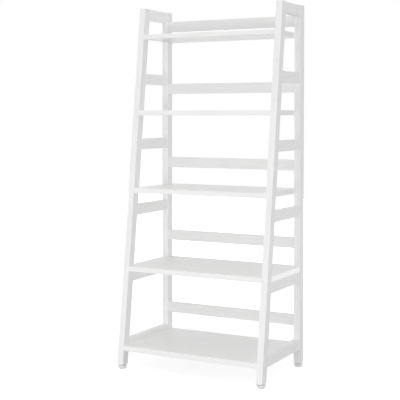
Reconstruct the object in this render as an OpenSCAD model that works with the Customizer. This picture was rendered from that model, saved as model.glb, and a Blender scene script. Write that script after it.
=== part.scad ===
// Ladder bookcase: five shelves between two side frames with leaning front legs.
// Millimetres. +Z is up, the front is at -Y, and the origin is on the floor, under the middle.

/* [Overall] */
// Height of the bookcase, from the floor to the leg tops
height = 1524; // [1400:1:1650]
// Width over the outer faces of the legs
width = 668; // [560:1:800]
// Depth over the legs, at their lower ends
base_depth = 418; // [390:1:450]
// Depth over the legs, at their tops
top_depth = 229; // [210:1:250]

/* [Legs] */
// Width of a leg, across the bookcase
leg_w = 27.5; // [26.5:0.5:34]
// Depth of a leg, square to its length
leg_d = 40; // [38:0.5:46]
// Radius of the eased long edges of legs and rails
edge_r = 1; // [0.5:0.1:1.5]
// Chamfer round a leg's ends
end_chamfer = 1.2; // [0.5:0.1:2]

/* [Side rails] */
// Height of a side rail
side_rail_h = 45.3; // [40:0.1:50]
// How far a side rail lies inside each face of the legs
side_rail_reveal = 1; // [0.2:0.1:2]
// Height of the lowest side rail's lower edge above the floor
low_rail_z = 76; // [60:1:95]
// How far the top side rail lies below the leg tops
top_rail_drop = 2; // [0:0.5:8]
// Thickness of a tenon
tenon_t = 9.5; // [8:0.5:11]
// Height of a tenon
tenon_h = 32; // [24:1:36]
// Length of a tenon
tenon_l = 15; // [10:0.5:15.5]

/* [Shelves] */
// Thickness of a shelf
shelf_t = 20.5; // [18:0.5:22]
// Height of the lowest shelf's top face above the floor
low_shelf_z = 98; // [92:1:120]
// Step from one shelf to the next, for the four lower shelves
shelf_pitch = 329; // [315:1:335]
// How far the top shelf's top face lies below the leg tops
top_shelf_drop = 114; // [100:1:130]
// Radius of a shelf's front edges
shelf_edge_r = 2; // [1:0.5:4]

/* [Back rails] */
// Height of a back rail
back_rail_h = 44.7; // [40:0.1:50]
// Thickness of a back rail
back_rail_t = 18; // [17:0.5:22]
// Height of the lowest back rail's lower edge above the floor
low_back_rail_z = 178; // [150:1:200]
// Step from one back rail to the next, for the four lower rails
back_rail_pitch = 327.4; // [315:0.1:340]
// How far the top back rail's lower edge lies above the top shelf
top_back_rail_gap = 26; // [15:1:40]

/* [Feet] */
// Gap between the stud's collar and the leg, with the feet as in the photograph
foot_gap = 1.5; // [1.4:0.1:6]
// Diameter of a foot pad over its upright rim
pad_d = 36; // [32:0.5:39]
// Diameter of a foot pad at the floor
sole_d = 28; // [24:0.5:32]
// Height of a foot pad
pad_h = 14; // [12:0.5:16]
// Height of a foot pad's rim
pad_rim_h = 4; // [3:0.5:6]
// Diameter of the stud, over its thread
stud_d = 8; // [6:0.5:8]
// Width of the stud's hexagon collar, across the flats
collar_af = 13; // [12:0.5:16]
// Height of the hexagon collar
collar_h = 2.5; // [2:0.5:4]
// Length of the stud above its collar
stud_l = 27; // [24:1:30]
// Outer diameter of the threaded insert
insert_d = 12; // [11:0.5:14]
// Length of the threaded insert
insert_l = 15; // [12:0.5:18]

/* [Fittings] */
// Diameter of a cam lock
cam_d = 15; // [13:0.5:16]
// Distance from a board's end to its cam's axis
cam_setback = 34; // [28:1:40]
// Diameter of a cam bolt's thread in the leg
bolt_d = 6; // [5:0.5:6.5]
// Depth of a cam bolt's thread in the leg
bolt_depth = 11.5; // [9:0.5:13]
// Diameter of a wooden dowel
dowel_d = 8; // [6:0.5:9]
// Length of a wooden dowel
dowel_l = 30; // [24:1:34]
// Distance between the cam bolt and the dowel in a back rail's end
dowel_spacing = 22; // [18:0.5:24]

/* [Fits] */
// Clearance round a tenon in its mortise
glue_gap = 0.15; // [0.05:0.05:0.3]
// Gap between a shelf and the legs beside it
shelf_gap = 0.2; // [0.1:0.05:0.5]
// Radial clearance between a fitting and its bore
fitting_gap = 0.05; // [0.02:0.01:0.1]
// Radial running clearance of the stud in its insert and in its pad
running_gap = 0.08; // [0.03:0.01:0.1]

/* [Hidden] */
$fn = 48;

LEFT = -1;
RIGHT = 1;
eps = 1;

// Height of the leg ends above the floor, and the lean of the front legs
foot_h = pad_h + collar_h + foot_gap;
lean = (base_depth - top_depth) / (height - foot_h);
lean_angle = atan(lean);
front_leg_run = leg_d / cos(lean_angle);

// Side planes: outer and inner faces of the legs, seen on the right
outer_x = width / 2;
inner_x = outer_x - leg_w;
leg_x = outer_x - leg_w / 2;

// Front to back planes
back_y = base_depth / 2;
rear_leg_front_y = back_y - leg_d;
function front_y(z) = -base_depth / 2 + lean * (z - foot_h);
function front_leg_back_y(z) = front_y(z) + front_leg_run;
function front_leg_mid_y(z) = front_y(z) + front_leg_run / 2;
rear_leg_mid_y = back_y - leg_d / 2;

// Shelf 1 is the top one. The last but one lies on a pair of side rails.
shelf_count = 5;
carried_shelf = shelf_count - 1;
function shelf_z(k) = k == 1 ? height - top_shelf_drop : low_shelf_z + (shelf_count - k) * shelf_pitch;
function shelf_bottom(k) = shelf_z(k) - shelf_t;

// Side rail 1 is the top one. All but the lowest are evenly spaced, down to the one under a shelf.
side_rail_count = 6;
carrying_rail = side_rail_count - 1;
side_rail_w = leg_w - 2 * side_rail_reveal;
top_rail_z = height - top_rail_drop - side_rail_h;
carrying_rail_z = shelf_bottom(carried_shelf) - side_rail_h;
side_rail_pitch = (top_rail_z - carrying_rail_z) / (carrying_rail - 1);
function side_rail_z(k) = k == side_rail_count ? low_rail_z : top_rail_z - (k - 1) * side_rail_pitch;

// Back rail 1 is the top one
back_rail_count = 5;
function back_rail_z(k) = k == 1 ? shelf_z(1) + top_back_rail_gap
                                 : low_back_rail_z + (back_rail_count - k) * back_rail_pitch;
back_rail_mid_y = rear_leg_front_y + back_rail_t / 2;

// Fittings
cam_pocket_d = cam_d + 2 * fitting_gap;
bolt_bore_d = bolt_d + 2 * fitting_gap;
bolt_shank_d = bolt_d - 1;
bolt_collar_l = 2;
bolt_neck_d = 4;
bolt_neck_l = 5;
bolt_head_l = 2.5;
shank_bore_d = bolt_d + 1;
cam_wall = 2;
cam_cap = 0.8;
cam_cavity_d = cam_d - 2 * cam_wall;
function cam_h(board_t) = board_t / 2 + bolt_d / 2 + cam_cap;
cam_cross_l = 8;
cam_cross_w = 1.6;
cam_cross_depth = 2.5;
dowel_chamfer = 1;
cam_z_in_rail = back_rail_h / 2 - dowel_spacing / 2;

// Feet
stud_end_gap = 2;
stud_bore_gap = 0.5;
stud_chamfer = 1;
neck_d = stud_d - 2;
rivet_d = neck_d + 4;
rivet_t = 1.5;
rivet_lift = 1;
rivet_gap = 0.3;
pad_recess_d = rivet_d + 3;
pad_recess_h = rivet_lift + rivet_t + rivet_gap;
pad_edge = 1;
collar_d = collar_af / cos(30);
foot_places = [[LEFT, 0], [RIGHT, 0], [LEFT, 1], [RIGHT, 1]];
front_foot_y = front_leg_mid_y(foot_h);
function foot_pos(side, rear) = [side * leg_x, rear == 1 ? rear_leg_mid_y : front_foot_y, 0];

paint = [0.93, 0.93, 0.92];
shelf_paint = [0.95, 0.95, 0.94];
zinc = [0.72, 0.73, 0.75];
beech = [0.85, 0.70, 0.50];
brass = [0.80, 0.66, 0.36];
nylon = [0.90, 0.90, 0.88];

// Small helpers

module at_side(side, x) { translate([side * x, 0, 0]) children(); }

// A rectangle about the origin, with round corners
module eased_rect(w, d, r) {
    square([w - 2 * r, d], center = true);
    square([w, d - 2 * r], center = true);
    for (i = [-1, 1], j = [-1, 1]) translate([i * (w / 2 - r), j * (d / 2 - r)]) circle(r);
}

// A flat outline in Y and Z, given thickness along X about the origin
module across(w) { rotate([90, 0, 90]) translate([0, 0, -w / 2]) linear_extrude(w) children(); }

// A round-ended slot in X and Z, run along +Y from the origin
module round_slot_along_y(t, h, l) {
    rotate([-90, 0, 0]) linear_extrude(l) {
        square([t, h - t], center = true);
        for (j = [-1, 1]) translate([0, j * (h - t) / 2]) circle(t / 2);
    }
}

// A cylinder that runs along X from the origin, towards side
module rod_x(side, d, l) { rotate([0, side * 90, 0]) cylinder(d = d, h = l); }

// Legs

// The mortise for side rail k, from the leg's face at y0 into the leg, and clear of a leaning face
module mortise(k, y0, dir) {
    depth = tenon_l + glue_gap;
    mouth = eps + lean * tenon_h;
    translate([0, dir > 0 ? y0 - mouth : y0 - depth, side_rail_z(k) + side_rail_h / 2])
        round_slot_along_y(tenon_t + 2 * glue_gap, tenon_h + 2 * glue_gap, depth + mouth);
}

// The bores in a leg's inner face for the cam bolts of the shelves
module shelf_bolt_bores(side, rear) {
    for (k = [1:shelf_count]) {
        z = shelf_bottom(k) + shelf_t / 2;
        translate([-side * leg_w / 2, rear ? rear_leg_mid_y : front_leg_mid_y(z), z])
            translate([-side * eps, 0, 0]) rod_x(side, bolt_bore_d, bolt_depth + fitting_gap + eps);
    }
}

// The bores in a rear leg's inner face for the back rails' cam bolts and dowels
module back_rail_bores(side) {
    for (k = [1:back_rail_count]) translate([-side * (leg_w / 2 + eps), back_rail_mid_y, back_rail_z(k)]) {
        translate([0, 0, cam_z_in_rail]) rod_x(side, bolt_bore_d, bolt_depth + fitting_gap + eps);
        translate([0, 0, cam_z_in_rail + dowel_spacing])
            rod_x(side, dowel_d + 2 * fitting_gap, dowel_l / 2 + fitting_gap + eps);
    }
}

// The stepped bore in a leg's lower end: the insert's seat, then room for the stud
module foot_bore(y) {
    translate([0, y, foot_h - eps]) {
        cylinder(d = insert_d + 2 * fitting_gap, h = insert_l + fitting_gap + eps);
        cylinder(d = stud_d + 2 * stud_bore_gap, h = stud_l + stud_end_gap + eps);
    }
}

// An upright's outline, cut level at both ends and chamfered there. Its sides lie outside the bar.
// low and top are the bar's edge at its lower and upper end, and w is its level width.
module cut_outline(low, top, w) {
    c = end_chamfer;
    e = leg_d;
    polygon([
        [low + c, foot_h], [low + w - c, foot_h], [low + w + e, foot_h + c + e],
        [top + w + e, height - c - e], [top + w - c, height], [top + c, height],
        [top - e, height - c - e], [low - e, foot_h + c + e]
    ]);
}

// Cuts a bar to its length, with its front edge at y_low and y_top
module cut_to_length(y_low, y_top, run) {
    intersection() {
        children();
        across(2 * leg_w) cut_outline(y_low, y_top, run);
        rotate([90, 0, 0]) translate([0, 0, -base_depth]) linear_extrude(2 * base_depth)
            cut_outline(-leg_w / 2, -leg_w / 2, leg_w);
    }
}

// A front leg: a straight bar turned back by the lean and cut level at both ends
module front_leg(side) {
    color(paint) at_side(side, leg_x) difference() {
        cut_to_length(front_y(foot_h), front_y(height), front_leg_run)
            translate([0, front_leg_mid_y(0), 0]) rotate([-lean_angle, 0, 0])
                translate([0, 0, -leg_d]) linear_extrude(height + 3 * leg_d) eased_rect(leg_w, leg_d, edge_r);
        for (k = [1:side_rail_count])
            mortise(k, front_leg_back_y(side_rail_z(k) + side_rail_h / 2), -1);
        shelf_bolt_bores(side, false);
        foot_bore(front_foot_y);
    }
}

// A rear leg: a plumb bar
module rear_leg(side) {
    color(paint) at_side(side, leg_x) difference() {
        cut_to_length(rear_leg_front_y, rear_leg_front_y, leg_d)
            translate([0, rear_leg_mid_y, 0]) linear_extrude(height + leg_d) eased_rect(leg_w, leg_d, edge_r);
        for (k = [1:side_rail_count]) mortise(k, rear_leg_front_y, 1);
        shelf_bolt_bores(side, true);
        back_rail_bores(side);
        foot_bore(rear_leg_mid_y);
    }
}

// A side rail: its front shoulder is cut to the lean of the front leg, its rear shoulder is plumb
module side_rail(side, k) {
    z0 = side_rail_z(k);
    z1 = z0 + side_rail_h;
    zm = z0 + side_rail_h / 2;
    y_front = front_leg_back_y(zm);
    color(paint) at_side(side, leg_x) {
        intersection() {
            translate([0, -base_depth, zm]) rotate([-90, 0, 0])
                linear_extrude(2 * base_depth) eased_rect(side_rail_w, side_rail_h, edge_r);
            across(2 * leg_w) polygon([
                [front_leg_back_y(z0), z0], [rear_leg_front_y, z0],
                [rear_leg_front_y, z1], [front_leg_back_y(z1), z1]
            ]);
        }
        translate([0, y_front - tenon_l, zm])
            round_slot_along_y(tenon_t, tenon_h, rear_leg_front_y - y_front + 2 * tenon_l);
    }
}

// Boards

// A shelf's outline in Y and Z: the front follows the lean, and its two edges are round
module shelf_profile(k) {
    r = shelf_edge_r;
    z0 = shelf_bottom(k);
    z1 = shelf_z(k);
    low = [front_y(z0 + r) + r / cos(lean_angle), z0 + r];
    top = [front_y(z1 - r) + r / cos(lean_angle), z1 - r];
    outwards = r * [-cos(lean_angle), sin(lean_angle)];
    polygon([
        [low[0], z0], [back_y, z0], [back_y, z1], [top[0], z1],
        top, top + outwards, low + outwards, low
    ]);
    translate(top) circle(r);
    translate(low) circle(r);
}

// The bore for a cam bolt in the end of a board
module shank_bore(side) {
    translate([side * eps, 0, 0]) rod_x(-side, shank_bore_d, cam_setback + eps);
}

// The pocket for a cam lock, from a board's face at z = 0 into the board
module cam_pocket(board_t) {
    translate([0, 0, -eps]) cylinder(d = cam_pocket_d, h = cam_h(board_t) + fitting_gap + eps);
}

module shelf_blank(k, w) { across(w) shelf_profile(k); }

// The ends of the carried shelf, which lie on the side rails between the legs
module shelf_ear(side) {
    z0 = shelf_bottom(carried_shelf) - eps;
    z1 = shelf_z(carried_shelf) + eps;
    ear_w = leg_w - side_rail_reveal;
    intersection() {
        at_side(side, inner_x + ear_w / 2 - eps / 2) shelf_blank(carried_shelf, ear_w + eps);
        across(2 * width) polygon([
            [front_leg_back_y(z0) + shelf_gap, z0], [rear_leg_front_y - shelf_gap, z0],
            [rear_leg_front_y - shelf_gap, z1], [front_leg_back_y(z1) + shelf_gap, z1]
        ]);
    }
}

// Places for the four cams of shelf k, at the level of its bolts
module at_shelf_corners(k) {
    z = shelf_bottom(k) + shelf_t / 2;
    for (side = [LEFT, RIGHT], y = [front_leg_mid_y(z), rear_leg_mid_y])
        translate([side * (inner_x - shelf_gap), y, z]) at_corner(side) children();
}

// Passes the side on to the fittings as $side
module at_corner(side) {
    $side = side;
    children();
}

module shelf(k) {
    color(shelf_paint) difference() {
        union() {
            shelf_blank(k, 2 * (inner_x - shelf_gap));
            if (k == carried_shelf) for (side = [LEFT, RIGHT]) shelf_ear(side);
        }
        at_shelf_corners(k) {
            shank_bore($side);
            translate([-$side * cam_setback, 0, -shelf_t / 2]) cam_pocket(shelf_t);
        }
    }
}

// Places for the cams of back rail k, at the level of its bolts
module at_back_rail_ends(k) {
    for (side = [LEFT, RIGHT])
        translate([side * (inner_x - shelf_gap), back_rail_mid_y, back_rail_z(k) + cam_z_in_rail])
            at_corner(side) children();
}

module back_rail(k) {
    color(paint) difference() {
        translate([0, back_rail_mid_y, back_rail_z(k) + back_rail_h / 2]) rotate([90, 0, 90])
            translate([0, 0, -(inner_x - shelf_gap)]) linear_extrude(2 * (inner_x - shelf_gap))
                eased_rect(back_rail_t, back_rail_h, edge_r);
        at_back_rail_ends(k) {
            shank_bore($side);
            translate([-$side * cam_setback, back_rail_t / 2, 0]) rotate([90, 0, 0]) cam_pocket(back_rail_t);
            translate([$side * eps, 0, dowel_spacing])
                rod_x(-$side, dowel_d + 2 * fitting_gap, dowel_l / 2 + fitting_gap + eps);
        }
    }
}

// Fittings

// A cam lock for a board of this thickness, with its face at z = 0 and its bolt coming from +X
module cam(board_t) {
    depth = board_t / 2;
    color(zinc) difference() {
        cylinder(d = cam_d, h = cam_h(board_t));
        translate([0, 0, depth - bolt_d / 2]) cylinder(d = cam_cavity_d, h = bolt_d);
        translate([0, 0, depth]) rod_x(1, bolt_d, cam_d);
        for (a = [0, 90]) rotate([0, 0, a])
            translate([-cam_cross_l / 2, -cam_cross_w / 2, -eps])
                cube([cam_cross_l, cam_cross_w, cam_cross_depth + eps]);
    }
}

// A cam bolt on +X: thread in the leg at negative X, collar, shank, neck and head inside the cam
module cam_bolt() {
    reach = cam_setback + shelf_gap;
    color(zinc) rotate([0, 90, 0]) {
        translate([0, 0, -bolt_depth]) cylinder(d = bolt_d, h = bolt_depth + bolt_collar_l);
        cylinder(d = bolt_shank_d, h = reach - bolt_neck_l);
        cylinder(d = bolt_neck_d, h = reach);
        translate([0, 0, reach - bolt_head_l]) cylinder(d = bolt_shank_d, h = bolt_head_l);
    }
}

module shelf_cams() {
    for (k = [1:shelf_count]) at_shelf_corners(k)
        translate([-$side * cam_setback, 0, -shelf_t / 2]) rotate([0, 0, $side > 0 ? 0 : 180]) cam(shelf_t);
}

module back_rail_cams() {
    for (k = [1:back_rail_count]) at_back_rail_ends(k)
        translate([-$side * cam_setback, back_rail_t / 2, 0]) rotate([90, 0, 0])
            rotate([0, 0, $side > 0 ? 0 : 180]) cam(back_rail_t);
}

module bolt_at_corner() {
    translate([$side * shelf_gap, 0, 0]) rotate([0, 0, $side > 0 ? 180 : 0]) cam_bolt();
}

module shelf_cam_bolts() { for (k = [1:shelf_count]) at_shelf_corners(k) bolt_at_corner(); }

module back_rail_cam_bolts() { for (k = [1:back_rail_count]) at_back_rail_ends(k) bolt_at_corner(); }

module back_rail_dowels() {
    color(beech) for (k = [1:back_rail_count]) at_back_rail_ends(k)
        translate([$side * (shelf_gap / 2), 0, dowel_spacing]) rotate([0, 90, 0]) rotate_extrude() polygon([
            [0, -dowel_l / 2], [dowel_d / 2 - dowel_chamfer, -dowel_l / 2],
            [dowel_d / 2, -dowel_l / 2 + dowel_chamfer], [dowel_d / 2, dowel_l / 2 - dowel_chamfer],
            [dowel_d / 2 - dowel_chamfer, dowel_l / 2], [0, dowel_l / 2]
        ]);
}

// Feet

module threaded_inserts() {
    color(brass) for (p = foot_places) translate(foot_pos(p[0], p[1]) + [0, 0, foot_h]) difference() {
        cylinder(d = insert_d, h = insert_l);
        translate([0, 0, -eps]) cylinder(d = stud_d + 2 * running_gap, h = insert_l + 2 * eps);
    }
}

// The stud: rivet head, neck through the pad, hexagon collar and plain shank, on one axis
module foot_stud(side, rear) {
    color(zinc) translate(foot_pos(side, rear)) {
        translate([0, 0, rivet_lift]) cylinder(d = rivet_d, h = rivet_t);
        translate([0, 0, rivet_lift]) cylinder(d = neck_d, h = pad_h - rivet_lift + eps);
        translate([0, 0, pad_h]) cylinder(d = collar_d, h = collar_h, $fn = 6);
        translate([0, 0, pad_h]) cylinder(d = stud_d, h = collar_h + stud_l - stud_chamfer);
        translate([0, 0, pad_h + collar_h + stud_l - stud_chamfer])
            cylinder(d1 = stud_d, d2 = stud_d - 2 * stud_chamfer, h = stud_chamfer);
    }
}

// The pad: a turned plastic foot, with an upright rim, a tapered side and a recess under the rivet head
module foot_pad(side, rear) {
    color(nylon) translate(foot_pos(side, rear)) rotate_extrude() difference() {
        polygon([
            [0, 0], [sole_d / 2 - pad_edge, 0], [sole_d / 2, pad_edge], [pad_d / 2, pad_h - pad_rim_h],
            [pad_d / 2, pad_h - pad_edge], [pad_d / 2 - pad_edge, pad_h], [0, pad_h]
        ]);
        translate([-eps, -eps]) square([neck_d / 2 + running_gap + eps, pad_h + 2 * eps]);
        translate([-eps, -eps]) square([pad_recess_d / 2 + eps, pad_recess_h + eps]);
    }
}

front_leg(LEFT);  // front_leg_left
front_leg(RIGHT);  // front_leg_right
rear_leg(LEFT);  // rear_leg_left
rear_leg(RIGHT);  // rear_leg_right
side_rail(LEFT, 1);  // side_rail_left_1
side_rail(LEFT, 2);  // side_rail_left_2
side_rail(LEFT, 3);  // side_rail_left_3
side_rail(LEFT, 4);  // side_rail_left_4
side_rail(LEFT, 5);  // side_rail_left_5
side_rail(LEFT, 6);  // side_rail_left_6
side_rail(RIGHT, 1);  // side_rail_right_1
side_rail(RIGHT, 2);  // side_rail_right_2
side_rail(RIGHT, 3);  // side_rail_right_3
side_rail(RIGHT, 4);  // side_rail_right_4
side_rail(RIGHT, 5);  // side_rail_right_5
side_rail(RIGHT, 6);  // side_rail_right_6
back_rail(1);  // back_rail_1
back_rail(2);  // back_rail_2
back_rail(3);  // back_rail_3
back_rail(4);  // back_rail_4
back_rail(5);  // back_rail_5
shelf(1);  // shelf_1
shelf(2);  // shelf_2
shelf(3);  // shelf_3
shelf(4);  // shelf_4
shelf(5);  // shelf_5
shelf_cams();
shelf_cam_bolts();
back_rail_cams();
back_rail_cam_bolts();
back_rail_dowels();
threaded_inserts();
foot_stud(LEFT, 0);  // foot_stud_front_left
foot_stud(RIGHT, 0);  // foot_stud_front_right
foot_stud(LEFT, 1);  // foot_stud_rear_left
foot_stud(RIGHT, 1);  // foot_stud_rear_right
foot_pad(LEFT, 0);  // foot_pad_front_left
foot_pad(RIGHT, 0);  // foot_pad_front_right
foot_pad(LEFT, 1);  // foot_pad_rear_left
foot_pad(RIGHT, 1);  // foot_pad_rear_right
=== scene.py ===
"""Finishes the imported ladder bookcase: lacquered wood and boards, turned feet and fittings."""
import math

import bpy
import numpy as np
from bpy.props import FloatProperty, FloatVectorProperty, IntProperty, PointerProperty
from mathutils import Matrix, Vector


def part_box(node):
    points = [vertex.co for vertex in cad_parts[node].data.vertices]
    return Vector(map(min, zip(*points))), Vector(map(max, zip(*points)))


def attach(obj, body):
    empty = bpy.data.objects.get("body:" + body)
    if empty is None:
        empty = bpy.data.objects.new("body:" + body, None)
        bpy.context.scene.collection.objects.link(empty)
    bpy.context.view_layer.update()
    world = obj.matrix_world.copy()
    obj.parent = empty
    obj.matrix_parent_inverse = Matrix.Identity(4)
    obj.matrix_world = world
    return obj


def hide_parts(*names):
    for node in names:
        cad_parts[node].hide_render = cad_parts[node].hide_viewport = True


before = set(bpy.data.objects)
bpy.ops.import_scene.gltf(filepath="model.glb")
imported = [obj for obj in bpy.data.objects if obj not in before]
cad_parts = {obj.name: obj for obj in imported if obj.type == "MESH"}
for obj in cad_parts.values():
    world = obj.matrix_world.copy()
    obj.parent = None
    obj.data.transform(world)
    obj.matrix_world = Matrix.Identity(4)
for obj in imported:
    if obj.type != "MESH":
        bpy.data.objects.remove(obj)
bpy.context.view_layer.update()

bl_info = {
    "name": "Ladder Bookcase Finish",
    "version": (1, 0, 0),
    "blender": (4, 5, 0),
    "location": "View3D > Sidebar > Bookcase",
    "description": "Gives a ladder bookcase its lacquer, threaded feet and fittings",
    "category": "Object",
}

MM = 0.001
FEET = ("front_left", "front_right", "rear_left", "rear_right")
SHELVES = [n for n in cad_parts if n.startswith("shelf_") and n[-1].isdigit()]
BACK_RAILS = [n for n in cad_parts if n.startswith("back_rail_") and n[-1].isdigit()]
SIDE_RAILS = [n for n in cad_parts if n.startswith("side_rail_")]
FRONT_LEGS = [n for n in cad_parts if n.startswith("front_leg_")]
REAR_LEGS = [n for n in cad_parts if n.startswith("rear_leg_")]

QUARTER_TURN = math.radians(90)
SHARP_ANGLE = math.radians(35)
LONGEST_FILLET = 0.45            # as a share of the shorter side at a corner

# The finishes: depths of their relief, and roughness and coat of their shaders
GRAIN_DEPTH, DOWEL_GRAIN_DEPTH = 0.05 * MM, 0.2 * MM
WOOD_PEEL_DEPTH, BOARD_PEEL_DEPTH = 0.010 * MM, 0.014 * MM
SCRATCH_DEPTH, SPARK_DEPTH = 0.01 * MM, 0.03 * MM
LACQUER_ROUGHNESS, DOWEL_ROUGHNESS = 0.42, 0.7
LACQUER_COAT, COAT_ROUGHNESS = 0.15, 0.25
DOWEL_SHADE = 0.8                # the grain's tone as a share of the dowel's own
NYLON_GLOW, NYLON_GLOW_DEPTH = 0.05, 2 * MM

# Noise patterns: how much finer each is along X, Y and Z, then its scale, detail and roughness
SLOW_TONE = ((1, 1, 1), 5.0, 3.0, 0.5)
FIGURE = ((1, 16, 16), 7.0, 3.0, 0.55)
GRAIN = ((1.2, 38, 38), 9.0, 4.0, 0.6)
PORES = ((3, 150, 150), 9.0, 2.0, 0.5)
ORANGE_PEEL = ((1, 1, 1), 420.0, 1.5, 0.5)
METAL_CLOUD = ((1, 1, 1), 260.0, 4.0, 0.5)
SCRATCHES = ((60, 900, 400), 6.0, 3.0, 0.7)
SPARK_PITS = ((1, 1, 1), 1500.0, 3.0, 0.5)
NYLON_CLOUD = ((1, 1, 1), 90.0, 2.0, 0.5)

# Where each pattern's ramp starts and ends
SLOW_RAMP, FIGURE_RAMP, GRAIN_RAMP = (0.35, 0.65), (0.34, 0.66), (0.3, 0.7)
PORE_RAMP, CLOUD_RAMP, PIT_RAMP = (0.34, 0.22), (0.3, 0.7), (0.2, 0.8)

# The share of each pattern in the tone, and how far each one swings the roughness
SLOW_SHARE, GRAIN_SHARE, FIGURE_SHARE = 0.3, 0.2, 0.5
SLOW_SWING, PEEL_SWING = 0.22, 0.08
CLOUD_SWING, SCRATCH_SWING = 0.16, 0.1
TARNISH_SHARE, NYLON_CLOUD_SHARE = 0.25, 0.2
NYLON_ROUGHNESS = (0.45, 0.62)

WHITE = (1, 1, 1, 1)
TARNISH = (0.2, 0.2, 0.22, 1)
DULL_NYLON = (0.6, 0.595, 0.585, 1)
HAIRLINE = (0.45, 0.44, 0.42, 1)
FLOOR_GREY = (0.58, 0.58, 0.58, 1)


# Settings that a user would change

class BookcaseColours(bpy.types.PropertyGroup):
    """The colours of the finishes."""
    lacquer: FloatVectorProperty(
        name="Lacquer", description="Satin white of the legs",
        default=(0.884, 0.881, 0.88), min=0, max=1, subtype="COLOR")
    lacquer_shade: FloatVectorProperty(
        name="Lacquer shade", description="Slightly deeper white of the figure, except on the back rails",
        default=(0.82, 0.816, 0.814), min=0, max=1, subtype="COLOR")
    # The side rails' paler white is painted light: the same lacquer as the legs, lightened to stand in for
    # light their faces lack
    side_lacquer: FloatVectorProperty(
        name="Side rail lacquer", description="Satin white of the side rails, one shade paler",
        default=(0.91, 0.907, 0.905), min=0, max=1, subtype="COLOR")
    # The back rails' deeper white and deeper figure are painted shade: the same lacquer as the legs, darkened
    # for the shade behind the shelves
    back_lacquer: FloatVectorProperty(
        name="Back rail lacquer", description="Satin white of the back rails, one shade deeper",
        default=(0.8, 0.797, 0.796), min=0, max=1, subtype="COLOR")
    back_shade: FloatVectorProperty(
        name="Back rail shade", description="Slightly deeper white of the figure on the back rails",
        default=(0.748, 0.744, 0.742), min=0, max=1, subtype="COLOR")
    board: FloatVectorProperty(
        name="Board", description="Satin white of the shelves' faces",
        default=(0.885, 0.881, 0.876), min=0, max=1, subtype="COLOR")
    # The end band's paler white is a painted highlight on the ends over the side rails; its glossier coat is
    # real
    end_band: FloatVectorProperty(
        name="End band", description="White of the glossy bands on the ends that lie on the side rails",
        default=(0.955, 0.953, 0.951), min=0, max=1, subtype="COLOR")
    zinc: FloatVectorProperty(
        name="Zinc", description="Plated steel of the studs, cams and bolts",
        default=(0.62, 0.63, 0.65), min=0, max=1, subtype="COLOR")
    brass: FloatVectorProperty(
        name="Brass", description="Threaded inserts in the leg ends",
        default=(0.78, 0.61, 0.30), min=0, max=1, subtype="COLOR")
    beech: FloatVectorProperty(
        name="Beech", description="Bare wood of the dowels",
        default=(0.72, 0.52, 0.33), min=0, max=1, subtype="COLOR")
    nylon: FloatVectorProperty(
        name="Nylon", description="Moulded plastic of the foot pads",
        default=(0.82, 0.817, 0.81), min=0, max=1, subtype="COLOR")


class BookcaseSizes(bpy.types.PropertyGroup):
    """The sizes of the details that the frame leaves plain."""
    stud_pitch: FloatProperty(
        name="Stud pitch", description="Rise of the foot stud's thread in one turn",
        default=1.25 * MM, min=0.5 * MM, max=2 * MM, unit="LENGTH", precision=5)
    bolt_pitch: FloatProperty(
        name="Cam bolt pitch", description="Rise of the wood thread of a cam bolt in one turn",
        default=2.8 * MM, min=1 * MM, max=4 * MM, unit="LENGTH", precision=5)
    bolt_thread_depth: FloatProperty(
        name="Cam bolt thread depth", description="Depth of the wood thread of a cam bolt",
        default=0.8 * MM, min=0.2 * MM, max=1.2 * MM, unit="LENGTH", precision=5)
    insert_pitch: FloatProperty(
        name="Insert pitch", description="Rise of the insert's outer wood thread in one turn",
        default=3 * MM, min=1 * MM, max=4 * MM, unit="LENGTH", precision=5)
    insert_thread_depth: FloatProperty(
        name="Insert thread depth", description="Depth of the insert's outer wood thread",
        default=1.1 * MM, min=0.3 * MM, max=1.5 * MM, unit="LENGTH", precision=5)
    dowel_flutes: IntProperty(
        name="Dowel flutes", description="Number of glue flutes round a dowel", default=16, min=8, max=24)
    flute_depth: FloatProperty(
        name="Flute depth", description="Depth of a dowel's flutes",
        default=0.3 * MM, min=0.1 * MM, max=0.6 * MM, unit="LENGTH", precision=5)
    pad_fillet: FloatProperty(
        name="Pad fillet", description="Reach of the round edges of a foot pad",
        default=0.9 * MM, min=0.2 * MM, max=1.5 * MM, unit="LENGTH", precision=5)
    band_t: FloatProperty(
        name="End band thickness", description="Thickness of the bands on the ends over the side rails",
        default=2 * MM, min=0.4 * MM, max=3 * MM, unit="LENGTH", precision=5)


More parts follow.
